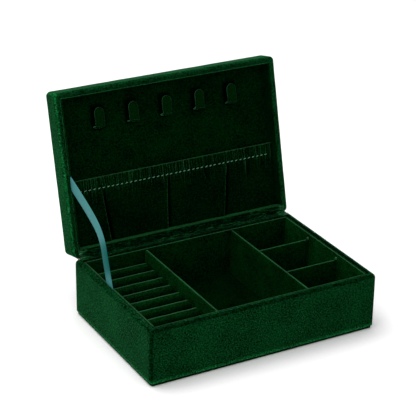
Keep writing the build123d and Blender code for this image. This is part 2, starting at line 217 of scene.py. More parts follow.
lining_sheen = (0.08, 1.0, 0.22)
velvet_outer = velvet("velvet_outer", (0.0001, 0.003, 0.0003), (0.0013, 0.042, 0.0085),
                      sheen_weight=0.18, nap_size=1.6, patchy=0.14, glint=(0.009, 0.038, 0.020),
                      stretch=(1, 0.7, 1))
velvet_lining = velvet("velvet_lining", (0.0001, 0.0012, 0.0001), (0.0004, 0.014, 0.0018),
                       sheen=lining_sheen, sheen_weight=0.15, sheen_roughness=0.2,
                       nap_size=1.4)
velvet_plinth = velvet("velvet_plinth", (0.0002, 0.006, 0.0006), (0.0010, 0.020, 0.004))
velvet_rings = velvet("velvet_ring_pads", (0.0001, 0.0012, 0.0001), (0.0004, 0.011, 0.0016),
                      sheen=lining_sheen, sheen_weight=0.18, sheen_roughness=0.18,
                      nap_size=1.3)
velvet_pocket = velvet("velvet_pocket", (0.0001, 0.0012, 0.0001), (0.0003, 0.009, 0.0012),
                       sheen=lining_sheen, sheen_weight=0.18, sheen_roughness=0.2,
                       nap_size=1.1)
velvet_gusset = velvet("velvet_gusset", (0.0001, 0.002, 0.0002), (0.0007, 0.018, 0.0040),
                       sheen_weight=0.3, nap_size=1.2)
velvet_hooks = velvet("velvet_hooks", (0.0001, 0.004, 0.0003), (0.0006, 0.012, 0.0015),
                      sheen_weight=0.3, nap_size=1.0)


def greyboard():
    material, tree, shader, place = new_material("greyboard")
    fibre = noise_node(tree, place, 1.8, detail=5, roughness=0.7, stretch=(1, 1, 3))
    paint(tree, shader, fibre, (0.19, 0.18, 0.16), (0.33, 0.31, 0.27))
    shader.inputs["Roughness"].default_value = 0.85
    bump_node(tree, shader, fibre, 0.3, 0.2)
    return material


def nickel():
    material, tree, shader, place = new_material("magnet_steel")
    wear = noise_node(tree, place, 0.6, detail=4)
    shader.inputs["Metallic"].default_value = 1.0
    paint(tree, shader, wear, (0.50, 0.49, 0.47), (0.68, 0.67, 0.65))
    rough = math_node(tree, "MULTIPLY_ADD", wear, 0.25)
    tree.links.new(rough, shader.inputs["Roughness"])
    bump_node(tree, shader, wear, 0.05, 0.05)
    return material


def knitted_elastic():
    material, tree, shader, place = new_material("elastic_web")
    wave = tree.nodes.new("ShaderNodeTexWave")
    rib_pitch = 1.2
    ribs_per_wave = 3
    wave.inputs["Scale"].default_value = ribs_per_wave / (rib_pitch * MM * math.tau)
    wave.bands_direction = "X"
    tree.links.new(place, wave.inputs["Vector"])
    paint(tree, shader, wave.outputs["Fac"], (0.005, 0.03, 0.012), (0.02, 0.08, 0.035), ends=(0.2, 0.8))
    shader.inputs["Roughness"].default_value = 0.7
    bump_node(tree, shader, wave.outputs["Fac"], 0.5, 0.2)
    return material


def satin():
    """Woven satin: fine weft ribs, and a mesh attribute of painted satin sheen and shade, from deep (0) to
    pale (1).
    """
    material, tree, shader, place = new_material("satin_ribbon")
    weft = noise_node(tree, place, 0.5, detail=2, stretch=(0.3, 1, 0.15))
    soft = noise_node(tree, place, 9.0, detail=1)
    both = math_node(tree, "ADD", math_node(tree, "MULTIPLY", weft, 0.4),
                     math_node(tree, "MULTIPLY", soft, 0.6))
    # The ribbon's colour in painted shade and in painted sheen.
    deep = (0.002, 0.080, 0.075)
    pale = (0.050, 0.190, 0.188)
    colour = ramp_node(tree, attribute_node(tree, "painted_satin_light"), [(0.0, deep), (1.0, pale)])
    mottle = math_node(tree, "MULTIPLY_ADD", both, 0.3, 0.85)
    tree.links.new(vector_node(tree, "SCALE", colour, mottle), shader.inputs["Base Color"])
    shader.inputs["Roughness"].default_value = 0.45
    shader.inputs["Specular IOR Level"].default_value = 0.02
    bump_node(tree, shader, weft, 0.15, 0.05)
    return material


def thread():
    material, tree, shader, place = new_material("stitch_thread")
    twist = noise_node(tree, place, 0.3, detail=2, stretch=(1, 0.4, 1))
    paint(tree, shader, twist, (0.035, 0.13, 0.07), (0.09, 0.24, 0.15))
    shader.inputs["Roughness"].default_value = 0.6
    bump_node(tree, shader, twist, 0.4, 0.1)
    return material


def raw_linen():
    material, tree, shader, place = new_material("raw_edge")
    weave = noise_node(tree, place, 0.35, detail=2)
    paint(tree, shader, weave, (0.13, 0.12, 0.08), (0.28, 0.26, 0.19))
    shader.inputs["Roughness"].default_value = 0.9
    bump_node(tree, shader, weave, 0.4, 0.15)
    return material


def rough_paper():
    material, tree, shader, place = new_material("studio_floor")
    grain = noise_node(tree, place, 3.0, detail=2)
    paint(tree, shader, grain, (0.80, 0.80, 0.80), (0.82, 0.82, 0.82))
    shader.inputs["Roughness"].default_value = 0.9
    shader.inputs["Specular IOR Level"].default_value = 0.0
    return material


# ---------------------------------------------------------------- mesh building
def smooth_step(start, end, value):
    share = min(1.0, max(0.0, (value - start) / (end - start)))
    return share * share * (3 - 2 * share)


def make_piece(name, points, faces, material, space=row_space):
    """A mesh object from points in millimetres of `space`."""
    mesh = bpy.data.meshes.new(name)
    mesh.from_pydata([space @ (Vector(point) * MM) for point in points], [], faces)
    mesh.update()
    for polygon in mesh.polygons:
        polygon.use_smooth = True
    mesh.materials.append(material)
    piece = bpy.data.objects.new(name, mesh)
    bpy.context.scene.collection.objects.link(piece)
    return piece


def finish_piece(piece, body, slot, *replaced):
    """Hands the piece to the frame: attaches it to its body and hides the CAD nodes it stands for; `slot` is
    not used.
    """
    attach(piece, body)
    if replaced:
        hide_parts(*replaced)


def store_values(piece, name, values):
    """Writes one number for each vertex into a new mesh attribute."""
    layer = piece.data.attributes.new(name, "FLOAT", "POINT")
    for item, value in zip(layer.data, values):
        item.value = value


def set_painted_light(piece, painted_lightness):
    """Stores the painted light and shade at each vertex; the given function takes a point in millimetres and
    its normal.
    """
    store_values(piece, "painted_light", [painted_lightness(vertex.co / MM, vertex.normal) for vertex in piece.data.vertices])


def in_lid(point):
    """A point in millimetres of the row's frame, in millimetres of the lid's own frame."""
    return lid_space.inverted() @ (point * MM) / MM


def soften(piece, depth, size, seed):
    """Moves the surface in and out along its normals by smooth noise, both in millimetres."""
    offset = Vector((seed * 17.3, seed * 5.1, seed * 11.7))
    mesh = piece.data
    normals = [vertex.normal.copy() for vertex in mesh.vertices]
    for vertex, normal in zip(mesh.vertices, normals):
        wave = noise.noise(vertex.co / (size * MM) + offset)
        vertex.co += normal * (depth * MM * wave)
    mesh.update()


def band_faces(rows, columns, closed):
    """Quads between rows of points that lie one after another; closed joins each row's ends."""
    faces = []
    last = columns if closed else columns - 1
    for row in range(rows - 1):
        for column in range(last):
            beside = (column + 1) % columns
            faces.append((row * columns + column, row * columns + beside,
                          (row + 1) * columns + beside, (row + 1) * columns + column))
    return faces


def spread(low, high, step):
    """Even steps from low to high, both included, each about `step` long."""
    count = max(1, round((high - low) / step))
    return [low + (high - low) * number / count for number in range(count + 1)]


def rectangle_loop(half_x, half_y, radius, step=3.2, turns=7):
    """Points anticlockwise round a rounded rectangle."""
    long_x = half_x - radius
    long_y = half_y - radius
    loop = []
    corners = [(long_x, -long_y, -90), (long_x, long_y, 0),
               (-long_x, long_y, 90), (-long_x, -long_y, 180)]
    for number, (x, y, start) in enumerate(corners):
        for turn in range(turns + 1):
            angle = math.radians(start + 90 * turn / turns)
            loop.append((x + radius * math.cos(angle), y + radius * math.sin(angle)))
        after = corners[(number + 1) % 4]
        angle = math.radians(start + 90)
        first = loop[-1]
        final = (after[0] + radius * math.cos(angle), after[1] + radius * math.sin(angle))
        count = round((case_length if number % 2 else case_depth) / step)
        for part in range(1, count):
            share = part / count
            loop.append((first[0] + (final[0] - first[0]) * share,
                         first[1] + (final[1] - first[1]) * share))
    return loop


def shell(name, material, sections, corner, middle_y=0.0, space=row_space, caps=()):
    """A wall that follows a rounded rectangle, from (inset, height) sections in millimetres."""
    smallest_corner = 0.35
    points = []
    columns = 0
    for inset, height in sections:
        loop = rectangle_loop(case_length / 2 - inset, case_depth / 2 - inset,
                              max(corner - inset, smallest_corner))
        columns = len(loop)
        points.extend((x, y + middle_y, height) for x, y in loop)
    faces = band_faces(len(sections), columns, True)
    if "first" in caps:
        faces.append(tuple(reversed(range(columns))))
    if "last" in caps:
        start = (len(sections) - 1) * columns
        faces.append(tuple(range(start, start + columns)))
    return make_piece(name, points, faces, material, space)


def quarter(centre_inset, centre_height, radius, start, end, count=6):
    """Sections on an arc; angle 0 points inwards (+inset), 90 up (+height)."""
    sections = []
    for number in range(count + 1):
        angle = math.radians(start + (end - start) * number / count)
        sections.append((centre_inset + radius * math.cos(angle),
                         centre_height + radius * math.sin(angle)))
    return sections


def graded(low, high, low_edge, high_edge, step, turns=4):
    """Coordinates from low to high, closer together on the rounded edges at both ends."""
    opening = [math.tan(math.radians(45 * turn / turns)) for turn in range(turns + 1)]
    start = [low + low_edge * (1 - share) for share in reversed(opening)]
    end = [high - high_edge * (1 - share) for share in opening]
    return start + spread(start[-1], end[0], step)[1:-1] + end


def block(name, low, high, material, low_edge, high_edge=None, step=2.5, space=row_space):
    """A box with rounded edges. The edges are (x, y, z) radii at its low and high sides."""
    low_edge = (low_edge,) * 3 if isinstance(low_edge, (int, float)) else low_edge
    high_edge = low_edge if high_edge is None else high_edge
    axes = [graded(low[i], high[i], low_edge[i], high_edge[i], step) for i in range(3)]
    index = {}
    points = []

    def number_of(key):
        if key not in index:
            corner = [axes[i][key[i]] for i in range(3)]
            offset = [0.0, 0.0, 0.0]
            inner = list(corner)
            edges = [1.0, 1.0, 1.0]
            for i in range(3):
                if corner[i] < low[i] + low_edge[i]:
                    inner[i] = low[i] + low_edge[i]
                    edges[i] = low_edge[i]
                elif corner[i] > high[i] - high_edge[i]:
                    inner[i] = high[i] - high_edge[i]
                    edges[i] = high_edge[i]
                offset[i] = (corner[i] - inner[i]) / edges[i]
            length = math.sqrt(sum(part * part for part in offset))
            if length > 0:
                corner = [inner[i] + offset[i] / length * edges[i] for i in range(3)]
            index[key] = len(points)
            points.append(corner)
        return index[key]

    faces = []
    for axis in range(3):
        second = (axis + 1) % 3
        third = (axis + 2) % 3
        for end in (0, len(axes[axis]) - 1):
            for i in range(len(axes[second]) - 1):
                for j in range(len(axes[third]) - 1):
                    square = [(i, j), (i + 1, j), (i + 1, j + 1), (i, j + 1)]
                    if end == 0:
                        square.reverse()
                    face = []
                    for along, across in square:
                        key = [0, 0, 0]
                        key[axis] = end
                        key[second] = along
                        key[third] = across
                        face.append(number_of(tuple(key)))
                    faces.append(tuple(face))
    return make_piece(name, points, faces, material, space)


def cad_corners(node, space=row_space):
    """A CAD node's lowest and highest corner in `space`, in millimetres."""
    to_space = space.inverted()
    corners = [to_space @ vertex.co for vertex in nodes[node].data.vertices]
    low = [min(point[i] for point in corners) / MM for i in range(3)]
    high = [max(point[i] for point in corners) / MM for i in range(3)]
    return low, high


# ---------------------------------------------------------------- satin ribbon stay
ribbon_width = 12.7
ribbon_thick = 0.35
ribbon_x = -113.65
ribbon_route = [(99.5, 129.5), (60.0, 117.0), (31.0, 102.5), (22.0, 76.0), (12.5, 50.5)]
ribbon_bow = 1.2

route_data = bpy.data.curves.new("ribbon_route", "CURVE")
route_data.dimensions = "3D"
route_spline = route_data.splines.new("NURBS")
route_spline.points.add(len(ribbon_route) - 1)
for point, (y, z) in zip(route_spline.points, ribbon_route):
    point.co = (ribbon_x * MM, y * MM, z * MM, 1)
route_spline.order_u = 3
route_spline.use_endpoint_u = True
route_data.resolution_u = 16
route_object = bpy.data.objects.new("ribbon_route", route_data)
bpy.context.scene.collection.objects.link(route_object)
route_mesh = bpy.data.meshes.new_from_object(route_object)
ribbon_path = [vertex.co.copy() for vertex in route_mesh.vertices]
bpy.data.objects.remove(route_object)

across_count = 9
ribbon_points = []
for number, centre in enumerate(ribbon_path):
    before = ribbon_path[max(number - 1, 0)]
    after = ribbon_path[min(number + 1, len(ribbon_path) - 1)]
    along = (after - before).normalized()
    across = Vector((0, -along.z, along.y))
    share = number / (len(ribbon_path) - 1)
    free = math.sin(math.pi * share)
    for side in (-1, 1):
        for place in range(across_count):
            shift = -1 + 2 * place / (across_count - 1)
            point = centre / MM + across * (shift * side * ribbon_width / 2)
            cupped = ribbon_bow * free * (1 - shift * shift)
            point.x += side * ribbon_thick / 2 - cupped
            ribbon_points.append(point)
ribbon_faces = band_faces(len(ribbon_path), 2 * across_count, True)
ribbon = make_piece("satin_ribbon_stay", ribbon_points, ribbon_faces, satin())


def ribbon_painted_light(share):
    """Painted sheen along the ribbon, painted shade in the bend where it turns down, middling at the base."""
    dip = smooth_step(0.48, 0.70, share) * (1 - smooth_step(0.82, 0.96, share))
    return 0.95 - 0.90 * dip - 0.30 * smooth_step(0.90, 0.97, share)


store_values(ribbon, "painted_satin_light", [ribbon_painted_light(number // (2 * across_count) / (len(ribbon_path) - 1))
                              for number in range(len(ribbon_points))])
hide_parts("ribbon_stay")
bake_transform(ribbon)

# ---------------------------------------------------------------- base: outer velvet and plinth
wall_top = rim_height - base_edge
base_sections = [(5.4, plinth_thick), (3.0, plinth_thick), (0.9, plinth_thick)]
base_sections += quarter(0.9, plinth_thick + 0.9, 0.9, 270, 180, 3)[1:]
base_sections += [(0.0, height) for height in spread(plinth_thick + 0.9, wall_top, 3.2)[1:]]
base_sections += quarter(base_edge, wall_top, base_edge, 180, 90, 8)[1:]
rim_fold = 0.9
base_sections += quarter(base_wall - rim_fold, rim_height - rim_fold, rim_fold, 90, 0, 4)
base_sections += [(base_wall, rim_height - 2.5), (base_wall, rim_height - base_groove_depth)]
outer = shell("base_velvet", velvet_outer, base_sections, base_corner)
soften(outer, 0.10, 14.0, 1)
soften(outer, 0.05, 3.5, 2)


def base_painted_light(point, normal):
    """Painted shade over the rim's round edge, in the slot and at the upright corners; painted highlights on
    the fold and the hem; the left wall and the right-hand rim a little lighter.
    """
    inset = min(case_length / 2 - abs(point.x), case_depth / 2 - abs(point.y))
    top = smooth_step(rim_height - 1.2, rim_height - 0.5, point.z)
    fold = smooth_step(3.9, 4.3, inset) * (1 - smooth_step(4.7, 5.1, inset)) * top
    groove = smooth_step(4.8, 5.2, inset) * top
    over_edge = smooth_step(0.15, 0.40, normal.z) * (1 - smooth_step(0.96, 0.99, normal.z))
    if normal.x > 0.2:
        over_edge = -0.8 * over_edge
    elif normal.x < -0.2:
        over_edge = 0.4 * over_edge
    hem = 1 - smooth_step(plinth_thick + 0.9, plinth_thick + 2.2, point.z)
    sideways = abs(normal.x)
    upright_corner = smooth_step(0.30, 0.45, sideways) * (1 - smooth_step(0.85, 0.95, sideways))
    left = smooth_step(0.8, 0.95, -normal.x)
    upright = upright_corner * (1 - smooth_step(0.1, 0.3, abs(normal.z)))
    wall = -0.65 * over_edge + 0.10 * left - 0.8 * groove - 0.6 * upright
    pale = max(fold, hem)
    return wall * (1 - pale) + 2.5 * fold + 2.4 * hem


set_painted_light(outer, base_painted_light)
finish_piece(outer, "base", "velvet_outer", "base_wrap")

plinth_edge = 0.8
plinth_sections = [(plinth_inset + 2.0, 0.0)]
plinth_sections += quarter(plinth_inset + plinth_edge, plinth_edge, plinth_edge, 270, 180, 4)
plinth_sections += [(plinth_inset, 2.0), (plinth_inset, plinth_thick)]
plinth = shell("base_plinth_velvet", velvet_plinth, plinth_sections, base_corner, caps=("first", "last"))
finish_piece(plinth, "base", "velvet_plinth", "base_plinth")

# ---------------------------------------------------------------- base: liners, dividers, floor pads
def edge_painted_light(top, walls_x=1.0, walls_y=0.8):
    """A painted highlight along a top edge, and painted light on the walls that face x and y."""
    def painted_lightness(point, normal):
        pale = 3.2 * smooth_step(0.75, 0.97, normal.z) * smooth_step(top - 1.2, top - 0.4, point.z)
        faces_x = smooth_step(0.6, 0.9, abs(normal.x))
        faces_y = smooth_step(0.6, 0.9, abs(normal.y))
        return pale + walls_x * faces_x + walls_y * faces_y
    return painted_lightness


for side in ("front", "back", "left", "right"):
    low, high = cad_corners(f"base_liner_{side}")
    liner = block(f"liner_{side}", low, high, velvet_lining, (0.4, 0.4, 0.4), (1.0, 1.0, 1.0))
    soften(liner, 0.06, 9.0, 3)
    set_painted_light(liner, edge_painted_light(high[2], walls_x=1.9))
    finish_piece(liner, "base", "velvet_lining", f"base_liner_{side}")

for side in ("left", "right"):
    low, high = cad_corners(f"divider_{side}")
    divider = block(f"divider_wall_{side}", low, high, velvet_lining, (1.2, 0.4, 0.4), (1.2, 0.4, 1.4))
    soften(divider, 0.08, 9.0, 4)
    set_painted_light(divider, edge_painted_light(high[2], walls_x=1.6 if side == "left" else 0.9))
    finish_piece(divider, "base", "velvet_lining", f"divider_{side}")

cross_short = 4.0            # how far a short divider stops from the right liner
tab_length = 1.8             # the folded tab at its free end
tab_height = 2.6
tab_root = 6.0
for place in ("back", "front"):
    low, high = cad_corners(f"cross_divider_{place}")
    wall_end = high[0] - cross_short
    wall = block(f"cross_wall_{place}", (low[0], low[1], low[2]), (wall_end, high[1], high[2]), velvet_lining,
                 (0.4, 1.0, 0.4), (0.8, 1.0, 1.2), step=0.9)
    for vertex in wall.data.vertices:
        above = vertex.co.z / MM - (high[2] - tab_root)
        if above > 0:
            tab = smooth_step(wall_end - tab_length - 0.9, wall_end - tab_length + 0.3, vertex.co.x / MM)
            vertex.co.z += tab * tab_height * MM * above / tab_root
    wall.data.update()
    soften(wall, 0.08, 9.0, 5)
    tab_start = wall_end - tab_length

    def cross_painted_light(point, normal, start=tab_start, top=high[2]):
        """Painted highlights along the top edge and on the folded tab at the free end; the wall a little
        lighter all over.
        """
        tab = smooth_step(start - 0.5, start, point.x) * smooth_step(top - 0.8, top + 0.2, point.z)
        edge = smooth_step(0.75, 0.97, normal.z) * smooth_step(top - 1.2, top - 0.4, point.z)
        return max(3.2 * edge, 4.0 * tab, 0.8)

    set_painted_light(wall, cross_painted_light)
    finish_piece(wall, "base", "velvet_lining", f"cross_divider_{place}")

for place in ("centre", "right_back", "right_middle", "right_front"):
    node = f"floor_pad_{place}"
    low, high = cad_corners(node)
    pad = block(f"{node}_velvet", low, high, velvet_lining, (1.4, 1.4, 0.5), (1.4, 1.4, 1.6))
    soften(pad, 0.25, 22.0, 6)
    # Painted shade: the floor pads are darkened all over.
    set_painted_light(pad, lambda point, normal: -0.35)
    finish_piece(pad, "base", "velvet_lining", node)

# ---------------------------------------------------------------- base: ring pads
low, high = cad_corners("ring_bed")
bed = block("ring_bed_velvet", low, high, velvet_rings, 1.2)
soften(bed, 0.1, 8.0, 7)
finish_piece(bed, "base", "velvet_ring_pads", "ring_bed")
ring_count = len([node for node in nodes if node.startswith("ring_pad_")])


def roll_painted_light(point, normal):
    """Painted light on each roll: a painted highlight behind its crest and on its top, painted shade in
    front.
    """
    crest = smooth_step(0.0, 0.3, normal.y) * smooth_step(0.2, 0.6, normal.z)
    front = smooth_step(0.5, 0.95, -normal.y)
    shoulder = smooth_step(0.85, 0.99, normal.z)
    return 4.2 * crest + 1.0 * shoulder * (1 - crest) - 0.5 * front * (1 - crest)


ring_round = 7.6
for number in range(1, ring_count + 1):
    low, high = cad_corners(f"ring_pad_{number}")
    roll = block(f"ring_roll_{number}", low, high, velvet_rings, (1.0, ring_round, 1.0),
                 (1.0, ring_round, ring_round), step=2.0)
    soften(roll, 0.22, 11.0, 10 + number)
    set_painted_light(roll, roll_painted_light)
    finish_piece(roll, "base", "velvet_ring_pads", f"ring_pad_{number}")

# ---------------------------------------------------------------- lid: outer velvet
lid_sections = [(lid_wall, rim_gap + lid_groove_depth), (lid_wall, rim_gap + 2.0)]
lid_sections += quarter(lid_wall - rim_fold, rim_gap + rim_fold, rim_fold, 0, -90, 4)
lid_sections += quarter(lid_rim_edge, rim_gap + lid_rim_edge, lid_rim_edge, 270, 180, 7)
lid_sections += [(0.0, height)
                 for height in spread(rim_gap + lid_rim_edge, lid_height - lid_edge, 3.0)[1:]]
lid_sections += quarter(lid_edge, lid_height - lid_edge, lid_edge, 180, 90, 8)[1:]
lid_sections += [(inset, lid_height) for inset in spread(lid_edge, case_depth / 2 - 1.0, 4.0)[1:]]
lid_outer = shell("lid_velvet", velvet_outer, lid_sections, lid_corner, middle_y=-case_depth / 2,
                  space=lid_space, caps=("last",))
soften(lid_outer, 0.10, 14.0, 21)
soften(lid_outer, 0.05, 3.5, 22)
lid_in = (lid_space.to_3x3() @ Vector((0, 0, -1))).normalized()


def lid_painted_light(point, normal):
    """Painted shade over the rim's round edge; painted highlights on its inner fold, and painted sheen on the
    left and right sides.
    """
    facing = normal.dot(lid_in)
    place = in_lid(point)
    inset = min(case_length / 2 - abs(place.x), -place.y, case_depth + place.y)
    on_right = smooth_step(3.0, 1.0, abs(case_length / 2 - place.x - inset))
    fold = smooth_step(5.4, 5.75, inset) * (1 - smooth_step(1.4, 2.4, place.z)) * (1 - on_right)
    over_edge = smooth_step(0.80, 0.97, facing)
    rolled = smooth_step(0.10, 0.40, -normal.x) * (1 - smooth_step(0.80, 0.97, -normal.x))
    left = (0.35 * smooth_step(0.35, 0.65, -normal.x) + 1.3 * rolled) * (1 - smooth_step(4.0, 5.0, inset))
    glow = on_right * smooth_step(0.10, 0.5, normal.x)
    return (-0.35 * over_edge * (1 - on_right) + left + 1.2 * glow) * (1 - fold) + 3.8 * fold


set_painted_light(lid_outer, lid_painted_light)
finish_piece(lid_outer, "lid", "velvet_outer", "lid_wrap")

low, high = cad_corners("lid_inner_panel", lid_space)
panel = block("lid_panel", low, high, velvet_lining, 0.8, step=1.5, space=lid_space)
soften(panel, 0.25, 30.0, 23)
panel_front = low[1]
hook_boxes = [cad_corners(node, lid_space) for node in nodes if node.startswith("necklace_hook_")]


def panel_painted_shade(point, normal):
    """Painted shade along the panel's front edge and painted shadow round each hook."""
    place = in_lid(point)
    painted_shade = 0.75 * (1 - smooth_step(0.5, 4.0, place.y - panel_front))
    for corner, far_corner in hook_boxes:
        off_x = max(corner[0] - place.x, place.x - far_corner[0], 0.0)
        off_y = max(corner[1] - place.y, place.y - far_corner[1], 0.0)
        painted_shade = max(painted_shade, 0.8 * math.exp(-((math.hypot(off_x, off_y) / 2.2) ** 2)))
    return -painted_shade


set_painted_light(panel, panel_painted_shade)
finish_piece(panel, "lid", "velvet_lining", "lid_inner_panel")
# Painted light per lid liner: each side is set lighter or darker.
liner_painted_light = {"hinge": 2.4, "left": 1.4, "right": -0.1, "front": -0.5}
for side in ("front", "hinge", "left", "right"):
    low, high = cad_corners(f"lid_liner_{side}", lid_space)
    liner = block(f"lid_lining_{side}", low, high, velvet_lining, 0.45, step=3.0, space=lid_space)
    soften(liner, 0.08, 9.0, 24)
    set_painted_light(liner, lambda point, normal, painted_lightness=liner_painted_light[side]: painted_lightness)
    finish_piece(liner, "lid", "velvet_lining", f"lid_liner_{side}")

# ---------------------------------------------------------------- lid: hooks
hook_thick = 1.8
hook_bend = 1.6
hook_ring = 24               # points round a hook's section
tip_turns = (12, 24, 36, 48, 60, 70, 78, 84, 88)
hook_count = len([node for node in nodes if node.startswith("necklace_hook_")])


def rounded_power(value, power):
    return math.copysign(abs(value) ** power, value)


for number in range(1, hook_count + 1):
    low, high = cad_corners(f"necklace_hook_{number}", lid_space)
    middle_x = (low[0] + high[0]) / 2
    half_width = (high[0] - low[0]) / 2
    foot = high[1] - hook_thick / 2
    face = low[2] + hook_thick / 2
    tip = low[1] + 0.3
    stations = [(foot, depth, 0.0) for depth in spread(high[2], face + hook_bend, 1.0)]
    for turn in range(1, 5):
        angle = math.radians(90 * turn / 4)
        stations.append((foot - hook_bend * (1 - math.cos(angle)),
                         face + hook_bend * (1 - math.sin(angle)), angle))
    stations += [(y, face, math.pi / 2) for y in spread(foot - hook_bend, tip + half_width, 0.8)[1:]]
    stations += [(tip + half_width * (1 - math.sin(math.radians(turn))), face, math.pi / 2)
                 for turn in tip_turns]
    points = []
    for y, z, lean in stations:
        reach = max(0.0, (tip + half_width - y) / half_width)
        width = half_width * math.sqrt(max(0.002, 1 - reach * reach))
        thick = hook_thick / 2 * (0.55 + 0.45 * math.sqrt(max(0.0, 1 - reach ** 4)))
        for turn in range(hook_ring):
            angle = math.tau * turn / hook_ring
            across = width * rounded_power(math.cos(angle), 0.55)
            out = thick * rounded_power(math.sin(angle), 0.7)
            points.append((middle_x + across, y + out * math.cos(lean), z + out * math.sin(lean)))
    faces = band_faces(len(stations), hook_ring, True)
    faces.append(tuple(reversed(range(hook_ring))))
    faces.append(tuple(range((len(stations) - 1) * hook_ring, len(stations) * hook_ring)))
    tab = make_piece(f"necklace_tab_{number}", points, faces, velvet_hooks, lid_space)
    soften(tab, 0.10, 3.0, 30 + number)

    def hook_painted_light(point, normal, foot=foot):
        """A painted highlight round the tab's outline, where the velvet turns over its edge; the tab a little
        lighter all over.
        """
        place = in_lid(point)
        rim_sheen = 1 - smooth_step(0.40, 0.80, normal.dot(lid_in))
        return 4.6 * rim_sheen * smooth_step(foot - 0.6, foot - 2.6, place.y) + 0.3

    set_painted_light(tab, hook_painted_light)
    finish_piece(tab, "lid", "velvet_hooks", f"necklace_hook_{number}")

# ---------------------------------------------------------------- lid: gathered pocket
pocket_low, pocket_high = cad_corners("pocket_cloth", lid_space)
casing_low, casing_high = cad_corners("pocket_casing", lid_space)
pocket_foot = -pocket_high[1]
pocket_seam = -casing_high[1]
pocket_top = -casing_low[1]
cloth_depth = (pocket_low[2] + pocket_high[2]) / 2
casing_front = casing_low[2] + 0.05
casing_back = casing_high[2]

# Each fold runs from (x, distance from the hinge) at the seam to the same at its lower end,
# and stands this far out of the cloth.
folds = [((-80.2, 60.5), (-75.4, 5.0), 2.1), ((-8.9, 60.5), (-13.9, 5.0), 2.2),
         ((57.7, 60.5), (49.4, 5.0), 2.4), ((-51.7, 60.5), (-52.9, 42.0), 1.0),
         ((30.1, 60.5), (36.2, 43.0), 1.2), ((79.7, 60.5), (80.4, 38.0), 1.1),
         ((-30.0, 60.5), (-33.0, 50.0), 0.7), ((5.0, 60.5), (8.0, 50.0), 0.7),
         ((97.0, 60.5), (96.0, 46.0), 0.7), ((-95.0, 60.5), (-93.0, 49.0), 0.6)]
fold_rise = 7.0              # width of a fold's slope, of its steep side and of the hollow after it
fold_drop = 0.9
fold_hollow = 6.0


def gathers(x, up, size, seed):
    """Uneven ripples across the cloth, from -1 to 1, that wander a little with height."""
    place = Vector((x / (size * 2.2) + seed, up / (size * 6), seed * 3.7))
    wander = 0.9 * noise.noise(place)
    strength = 0.65 + 0.7 * noise.noise(place * 1.7 + Vector((5.0, 1.0, 2.0)))
    return strength * math.sin(math.tau * (x / size + wander))


def fold_height(x, up):
    """How far the knife folds stand out of the pocket at a point, and the painted light there: highlights on
    crests, shade in hollows.
    """
    total = 0.0
    painted_lightness = 0.0
    for (top_x, top_up), (foot_x, foot_up), height in folds:
        share = (top_up - up) / (top_up - foot_up)
        if share < 0 or share > 1:
            continue
        middle = top_x + (foot_x - top_x) * share
        fade = smooth_step(-0.02, 0.10, share)
        if foot_up > pocket_foot + 1:
            fade *= 1 - smooth_step(0.45, 1.0, share)
        off = x - middle
        if off < 0:
            shape = math.exp(-((-off / fold_rise) ** 1.4))
        elif off < fold_drop:
            shape = 1 - 1.45 * off / fold_drop
        else:
            shape = -0.45 * math.exp(-(off - fold_drop) / fold_hollow)
        total += height * fade * shape
        crest = smooth_step(-1.3, -0.3, off) * (1 - smooth_step(0.1, 0.4, off))
        hollow = smooth_step(0.2, 0.8, off) * (1 - smooth_step(1.5, 7.0, off))
        painted_lightness += fade * min(1.0, height / 1.5) * (2.5 * crest - 0.95 * hollow)
    return total, painted_lightness


def pocket_depth(x, up):
    """The depth of the pocket's front cloth in lid space."""
    if up >= pocket_seam:
        share = (up - pocket_seam) / (pocket_top - pocket_seam)
        ripple = 0.30 * gathers(x, up, 2.9, 5.0) + 0.12 * gathers(x, up, 1.7, 9.0)
        return casing_front + 0.1 - ripple * (0.6 + 0.4 * math.sin(math.pi * share))
    below = pocket_seam - up
    fine = 0.30 * gathers(x, up, 2.9, 5.0) * math.exp(-below / 3.5)
    medium = 0.35 * gathers(x, up, 9.0, 2.0) * math.exp(-below / 12.0) * smooth_step(0, 4, below)
    large = 0.45 * gathers(x, up, 34.0, 7.0) * smooth_step(3, 18, below)
    settle = casing_front + (cloth_depth - casing_front) * smooth_step(0, 9, below)
    return settle + 0.2 - fine - medium - large - fold_height(x, up)[0]


pocket_rows = spread(pocket_foot, pocket_seam, 1.3)[:-1] + spread(pocket_seam, pocket_top - 1.0, 0.9)
pocket_columns = spread(pocket_low[0], pocket_high[0], 0.36)
pocket_points = [(x, -up, pocket_depth(x, up)) for up in pocket_rows for x in pocket_columns]

# The cloth rolls over the pocket's mouth: (below the top, share of the way to the back).
roll_over = [(0.7, 0.12), (0.35, 0.3), (0.0, 0.6), (0.25, 0.85), (0.8, 1.0)]
for drop, share in roll_over:
    for x in pocket_columns:
        front = pocket_depth(x, pocket_top - 1.0)
        frill = 0.35 * gathers(x, pocket_top, 3.1, 12.0)
        pocket_points.append((x, -(pocket_top - drop + frill * 0.5),
                              front + (casing_back - front) * share))
back_rows = spread(pocket_top - 2.0, pocket_seam, 3.0)
pocket_points += [(x, -up, casing_back) for up in back_rows for x in pocket_columns]
row_count = len(pocket_rows) + len(roll_over) + len(back_rows)
pocket_faces = band_faces(row_count, len(pocket_columns), False)
pocket = make_piece("gathered_pocket", pocket_points, pocket_faces, velvet_pocket, lid_space)

# Each fine gather has its place along x, its lean, its strength and how far up it starts.
gather_margin = 1.5
gather_lines = []
line_x = pocket_low[0] + gather_margin
while line_x < pocket_high[0] - gather_margin:
    place = Vector((line_x * 0.61, 4.7, 1.3))
    gather_lines.append((line_x, 1.6 * noise.noise(place * 1.9),
                         0.4 + 1.3 * abs(noise.noise(place * 2.7)), noise.noise(place * 3.1)))
    line_x += 2.3 + 1.9 * noise.noise(place)


